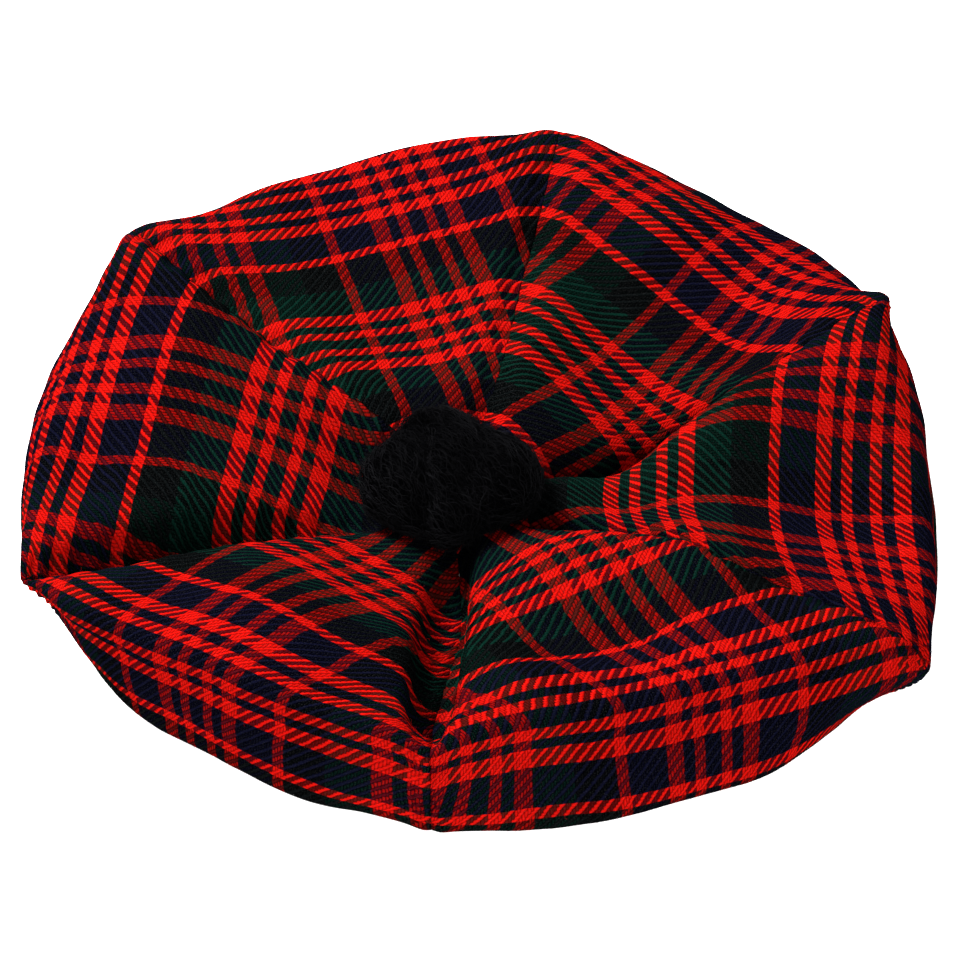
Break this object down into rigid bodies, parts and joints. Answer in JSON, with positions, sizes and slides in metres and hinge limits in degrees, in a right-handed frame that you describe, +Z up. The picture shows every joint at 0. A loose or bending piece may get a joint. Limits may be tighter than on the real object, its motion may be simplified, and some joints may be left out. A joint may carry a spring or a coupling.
{
  "type": "tam o' shanter",
  "caption": "Soft tartan wool cap with a wide flat crown of wedge-shaped panels, a dished middle holding a yarn toorie, and a plain band round the head opening.",
  "frame": {"origin": "middle of the whole hat's box in plan, at the foot of the headband", "axes": "+Z up through the crown, which is the shortest way through the hat; -Y to the front of the picture; +X to its right"},
  "size_m": [0.2912, 0.2912, 0.0818],
  "materials": {
    "tartan_wool": "woven wool in a 2/2 twill, red, bottle green, navy and black check, slightly fuzzy",
    "band_wool": "plain black wool",
    "toorie_yarn": "soft black wool yarn, brushed"
  },
  "bodies": {
    "root": {"crown_panel_ab": "tartan_wool", "crown_panel_bc": "tartan_wool", "crown_panel_cd": "tartan_wool", "crown_panel_de": "tartan_wool", "crown_panel_ef": "tartan_wool", "crown_panel_fa": "tartan_wool", "headband": "band_wool", "toorie": "toorie_yarn"}
  },
  "joints": []
}
